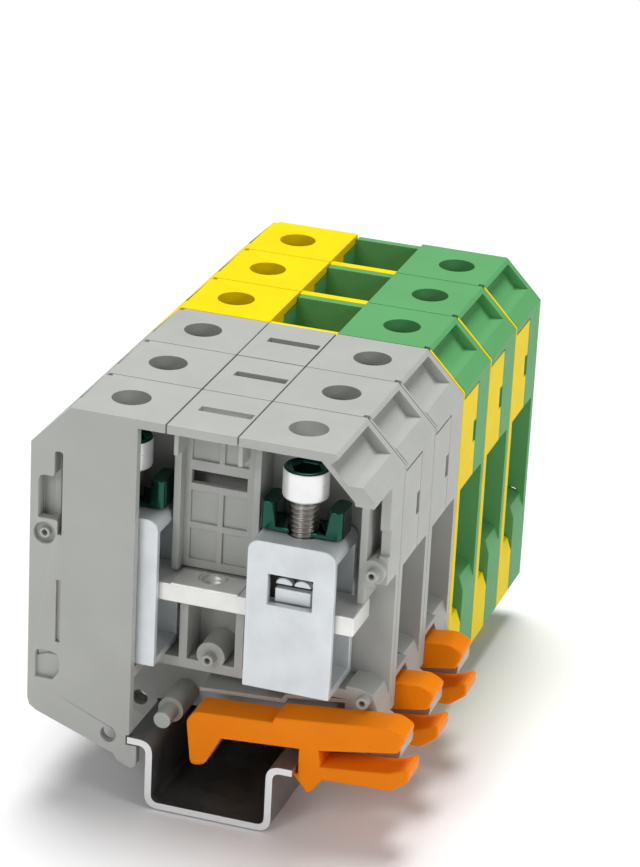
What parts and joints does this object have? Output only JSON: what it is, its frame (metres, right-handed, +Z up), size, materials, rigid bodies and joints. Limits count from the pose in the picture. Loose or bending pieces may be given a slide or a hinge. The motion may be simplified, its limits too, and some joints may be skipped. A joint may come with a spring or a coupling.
{
  "type": "din rail terminal block",
  "caption": "Row of screw terminal blocks on a top-hat rail section: grey feed-through blocks, one cut open to show its clamps and bar, and green-yellow earth blocks.",
  "frame": {"origin": "middle of the rail's underside, on the rail's centre line", "axes": "+X towards the pull tabs of the foot sliders, +Y along the rail from the open block to the earth blocks, +Z up, away from the rail"},
  "size_m": [0.08, 0.128, 0.084],
  "materials": {
    "grey_plastic": "fine moulded texture, satin",
    "yellow_plastic": "fine moulded texture, satin",
    "green_plastic": "fine moulded texture, satin",
    "orange_plastic": "moulded, satin",
    "galvanised_rail": "galvanised, bright sheared ends",
    "zinc_screw": "bright zinc plated",
    "zinc_cage": "zinc plated, slightly blue",
    "chromated_yoke": "dark green chromate, glossy",
    "tinned_bar": "tin plated copper"
  },
  "bodies": {
    "strip": {"din_rail": "galvanised_rail", "feed_1_left_pad": "zinc_cage", "feed_1_right_pad": "zinc_cage", "feed_1_front_shell": "grey_plastic", "feed_1_rear_shell": "grey_plastic", "feed_1_bar": "tinned_bar", "feed_2_front_shell": "grey_plastic", "feed_2_rear_shell": "grey_plastic", "feed_2_bar": "tinned_bar", "feed_3_front_shell": "grey_plastic", "feed_3_rear_shell": "grey_plastic", "feed_3_bar": "tinned_bar", "earth_1_front_shell": "yellow_plastic", "earth_1_rear_shell": "green_plastic", "earth_1_bar": "tinned_bar", "earth_2_front_shell": "yellow_plastic", "earth_2_rear_shell": "green_plastic", "earth_2_bar": "tinned_bar", "earth_3_front_shell": "yellow_plastic", "earth_3_rear_shell": "green_plastic", "earth_3_bar": "tinned_bar"},
    "feed_1_left_screw": {"feed_1_left_screw": "zinc_screw"},
    "feed_1_left_cage": {"feed_1_left_cage": "zinc_cage", "feed_1_left_yoke": "chromated_yoke"},
    "feed_1_right_screw": {"feed_1_right_screw": "zinc_screw"},
    "feed_1_right_cage": {"feed_1_right_cage": "zinc_cage", "feed_1_right_yoke": "chromated_yoke"},
    "feed_1_cover": {"feed_1_cover": "grey_plastic"},
    "feed_1_slider": {"feed_1_slider": "orange_plastic"},
    "feed_2_left_screw": {"feed_2_left_screw": "zinc_screw"},
    "feed_2_left_cage": {"feed_2_left_cage": "zinc_cage"},
    "feed_2_right_screw": {"feed_2_right_screw": "zinc_screw"},
    "feed_2_right_cage": {"feed_2_right_cage": "zinc_cage"},
    "feed_2_cover": {"feed_2_cover": "grey_plastic"},
    "feed_2_slider": {"feed_2_slider": "orange_plastic"},
    "feed_3_left_screw": {"feed_3_left_screw": "zinc_screw"},
    "feed_3_left_cage": {"feed_3_left_cage": "zinc_cage"},
    "feed_3_right_screw": {"feed_3_right_screw": "zinc_screw"},
    "feed_3_right_cage": {"feed_3_right_cage": "zinc_cage"},
    "feed_3_cover": {"feed_3_cover": "grey_plastic"},
    "feed_3_slider": {"feed_3_slider": "orange_plastic"},
    "earth_1_left_screw": {"earth_1_left_screw": "zinc_screw"},
    "earth_1_left_cage": {"earth_1_left_cage": "zinc_cage"},
    "earth_1_right_screw": {"earth_1_right_screw": "zinc_screw"},
    "earth_1_right_cage": {"earth_1_right_cage": "zinc_cage"},
    "earth_1_foot_screw": {"earth_1_foot_screw": "zinc_screw"},
    "earth_1_rail_clamp": {"earth_1_rail_clamp": "zinc_cage"},
    "earth_2_left_screw": {"earth_2_left_screw": "zinc_screw"},
    "earth_2_left_cage": {"earth_2_left_cage": "zinc_cage"},
    "earth_2_right_screw": {"earth_2_right_screw": "zinc_screw"},
    "earth_2_right_cage": {"earth_2_right_cage": "zinc_cage"},
    "earth_2_foot_screw": {"earth_2_foot_screw": "zinc_screw"},
    "earth_2_rail_clamp": {"earth_2_rail_clamp": "zinc_cage"},
    "earth_3_left_screw": {"earth_3_left_screw": "zinc_screw"},
    "earth_3_left_cage": {"earth_3_left_cage": "zinc_cage"},
    "earth_3_right_screw": {"earth_3_right_screw": "zinc_screw"},
    "earth_3_right_cage": {"earth_3_right_cage": "zinc_cage"},
    "earth_3_foot_screw": {"earth_3_foot_screw": "zinc_screw"},
    "earth_3_rail_clamp": {"earth_3_rail_clamp": "zinc_cage"}
  },
  "joints": [
    {"name": "feed_1_left_screw_turn", "type": "hinge", "parent": "strip", "child": "feed_1_left_screw", "pos_m": [-0.0223, -0.05415, 0.075], "axis": [0, 0, -1], "range_deg": [0, 2160]},
    {"name": "feed_1_left_cage_lift", "type": "slide", "parent": "strip", "child": "feed_1_left_cage", "axis": [0, 0, 1], "range_m": [0, 0.006]},
    {"name": "feed_1_right_screw_turn", "type": "hinge", "parent": "strip", "child": "feed_1_right_screw", "pos_m": [0.0143, -0.05415, 0.075], "axis": [0, 0, -1], "range_deg": [0, 2160]},
    {"name": "feed_1_right_cage_lift", "type": "slide", "parent": "strip", "child": "feed_1_right_cage", "axis": [0, 0, 1], "range_m": [0, 0.006]},
    {"name": "feed_1_cover_lift", "type": "slide", "parent": "strip", "child": "feed_1_cover", "axis": [0, 0, 1], "range_m": [0, 0.012]},
    {"name": "feed_1_slider_pull", "type": "slide", "parent": "strip", "child": "feed_1_slider", "axis": [1, 0, 0], "range_m": [0, 0.003], "stiffness_N_per_m": 1500},
    {"name": "feed_2_left_screw_turn", "type": "hinge", "parent": "strip", "child": "feed_2_left_screw", "pos_m": [-0.0223, -0.03415, 0.075], "axis": [0, 0, -1], "range_deg": [0, 2160]},
    {"name": "feed_2_left_cage_lift", "type": "slide", "parent": "strip", "child": "feed_2_left_cage", "axis": [0, 0, 1], "range_m": [0, 0.006]},
    {"name": "feed_2_right_screw_turn", "type": "hinge", "parent": "strip", "child": "feed_2_right_screw", "pos_m": [0.0143, -0.03415, 0.075], "axis": [0, 0, -1], "range_deg": [0, 2160]},
    {"name": "feed_2_right_cage_lift", "type": "slide", "parent": "strip", "child": "feed_2_right_cage", "axis": [0, 0, 1], "range_m": [0, 0.006]},
    {"name": "feed_2_cover_lift", "type": "slide", "parent": "strip", "child": "feed_2_cover", "axis": [0, 0, 1], "range_m": [0, 0.012]},
    {"name": "feed_2_slider_pull", "type": "slide", "parent": "strip", "child": "feed_2_slider", "axis": [1, 0, 0], "range_m": [0, 0.003], "stiffness_N_per_m": 1500},
    {"name": "feed_3_left_screw_turn", "type": "hinge", "parent": "strip", "child": "feed_3_left_screw", "pos_m": [-0.0223, -0.01415, 0.075], "axis": [0, 0, -1], "range_deg": [0, 2160]},
    {"name": "feed_3_left_cage_lift", "type": "slide", "parent": "strip", "child": "feed_3_left_cage", "axis": [0, 0, 1], "range_m": [0, 0.006]},
    {"name": "feed_3_right_screw_turn", "type": "hinge", "parent": "strip", "child": "feed_3_right_screw", "pos_m": [0.0143, -0.01415, 0.075], "axis": [0, 0, -1], "range_deg": [0, 2160]},
    {"name": "feed_3_right_cage_lift", "type": "slide", "parent": "strip", "child": "feed_3_right_cage", "axis": [0, 0, 1], "range_m": [0, 0.006]},
    {"name": "feed_3_cover_lift", "type": "slide", "parent": "strip", "child": "feed_3_cover", "axis": [0, 0, 1], "range_m": [0, 0.012]},
    {"name": "feed_3_slider_pull", "type": "slide", "parent": "strip", "child": "feed_3_slider", "axis": [1, 0, 0], "range_m": [0, 0.003], "stiffness_N_per_m": 1500},
    {"name": "earth_1_left_screw_turn", "type": "hinge", "parent": "strip", "child": "earth_1_left_screw", "pos_m": [-0.0223, 0.00585, 0.075], "axis": [0, 0, -1], "range_deg": [0, 2160]},
    {"name": "earth_1_left_cage_lift", "type": "slide", "parent": "strip", "child": "earth_1_left_cage", "axis": [0, 0, 1], "range_m": [0, 0.006]},
    {"name": "earth_1_right_screw_turn", "type": "hinge", "parent": "strip", "child": "earth_1_right_screw", "pos_m": [0.0143, 0.00585, 0.075], "axis": [0, 0, -1], "range_deg": [0, 2160]},
    {"name": "earth_1_right_cage_lift", "type": "slide", "parent": "strip", "child": "earth_1_right_cage", "axis": [0, 0, 1], "range_m": [0, 0.006]},
    {"name": "earth_1_foot_screw_turn", "type": "hinge", "parent": "strip", "child": "earth_1_foot_screw", "pos_m": [-0.004, 0.00585, 0.05], "axis": [0, 0, 1], "range_deg": [0, 900]},
    {"name": "earth_1_rail_clamp_drop", "type": "slide", "parent": "strip", "child": "earth_1_rail_clamp", "axis": [0, 0, -1], "range_m": [0, 0.002]},
    {"name": "earth_2_left_screw_turn", "type": "hinge", "parent": "strip", "child": "earth_2_left_screw", "pos_m": [-0.0223, 0.02585, 0.075], "axis": [0, 0, -1], "range_deg": [0, 2160]},
    {"name": "earth_2_left_cage_lift", "type": "slide", "parent": "strip", "child": "earth_2_left_cage", "axis": [0, 0, 1], "range_m": [0, 0.006]},
    {"name": "earth_2_right_screw_turn", "type": "hinge", "parent": "strip", "child": "earth_2_right_screw", "pos_m": [0.0143, 0.02585, 0.075], "axis": [0, 0, -1], "range_deg": [0, 2160]},
    {"name": "earth_2_right_cage_lift", "type": "slide", "parent": "strip", "child": "earth_2_right_cage", "axis": [0, 0, 1], "range_m": [0, 0.006]},
    {"name": "earth_2_foot_screw_turn", "type": "hinge", "parent": "strip", "child": "earth_2_foot_screw", "pos_m": [-0.004, 0.02585, 0.05], "axis": [0, 0, 1], "range_deg": [0, 900]},
    {"name": "earth_2_rail_clamp_drop", "type": "slide", "parent": "strip", "child": "earth_2_rail_clamp", "axis": [0, 0, -1], "range_m": [0, 0.002]},
    {"name": "earth_3_left_screw_turn", "type": "hinge", "parent": "strip", "child": "earth_3_left_screw", "pos_m": [-0.0223, 0.04585, 0.075], "axis": [0, 0, -1], "range_deg": [0, 2160]},
    {"name": "earth_3_left_cage_lift", "type": "slide", "parent": "strip", "child": "earth_3_left_cage", "axis": [0, 0, 1], "range_m": [0, 0.006]},
    {"name": "earth_3_right_screw_turn", "type": "hinge", "parent": "strip", "child": "earth_3_right_screw", "pos_m": [0.0143, 0.04585, 0.075], "axis": [0, 0, -1], "range_deg": [0, 2160]},
    {"name": "earth_3_right_cage_lift", "type": "slide", "parent": "strip", "child": "earth_3_right_cage", "axis": [0, 0, 1], "range_m": [0, 0.006]},
    {"name": "earth_3_foot_screw_turn", "type": "hinge", "parent": "strip", "child": "earth_3_foot_screw", "pos_m": [-0.004, 0.04585, 0.05], "axis": [0, 0, 1], "range_deg": [0, 900]},
    {"name": "earth_3_rail_clamp_drop", "type": "slide", "parent": "strip", "child": "earth_3_rail_clamp", "axis": [0, 0, -1], "range_m": [0, 0.002]}
  ],
  "couplings": [
    {"joint": "feed_1_left_screw_turn", "follows": "feed_1_left_cage_lift", "rad_per_m": 6283.1},
    {"joint": "feed_1_right_screw_turn", "follows": "feed_1_right_cage_lift", "rad_per_m": 6283.1},
    {"joint": "feed_2_left_screw_turn", "follows": "feed_2_left_cage_lift", "rad_per_m": 6283.1},
    {"joint": "feed_2_right_screw_turn", "follows": "feed_2_right_cage_lift", "rad_per_m": 6283.1},
    {"joint": "feed_3_left_screw_turn", "follows": "feed_3_left_cage_lift", "rad_per_m": 6283.1},
    {"joint": "feed_3_right_screw_turn", "follows": "feed_3_right_cage_lift", "rad_per_m": 6283.1},
    {"joint": "earth_1_left_screw_turn", "follows": "earth_1_left_cage_lift", "rad_per_m": 6283.1},
    {"joint": "earth_1_right_screw_turn", "follows": "earth_1_right_cage_lift", "rad_per_m": 6283.1},
    {"joint": "earth_1_foot_screw_turn", "follows": "earth_1_rail_clamp_drop", "rad_per_m": 7853.9},
    {"joint": "earth_2_left_screw_turn", "follows": "earth_2_left_cage_lift", "rad_per_m": 6283.1},
    {"joint": "earth_2_right_screw_turn", "follows": "earth_2_right_cage_lift", "rad_per_m": 6283.1},
    {"joint": "earth_2_foot_screw_turn", "follows": "earth_2_rail_clamp_drop", "rad_per_m": 7853.9},
    {"joint": "earth_3_left_screw_turn", "follows": "earth_3_left_cage_lift", "rad_per_m": 6283.1},
    {"joint": "earth_3_right_screw_turn", "follows": "earth_3_right_cage_lift", "rad_per_m": 6283.1},
    {"joint": "earth_3_foot_screw_turn", "follows": "earth_3_rail_clamp_drop", "rad_per_m": 7853.9}
  ]
}
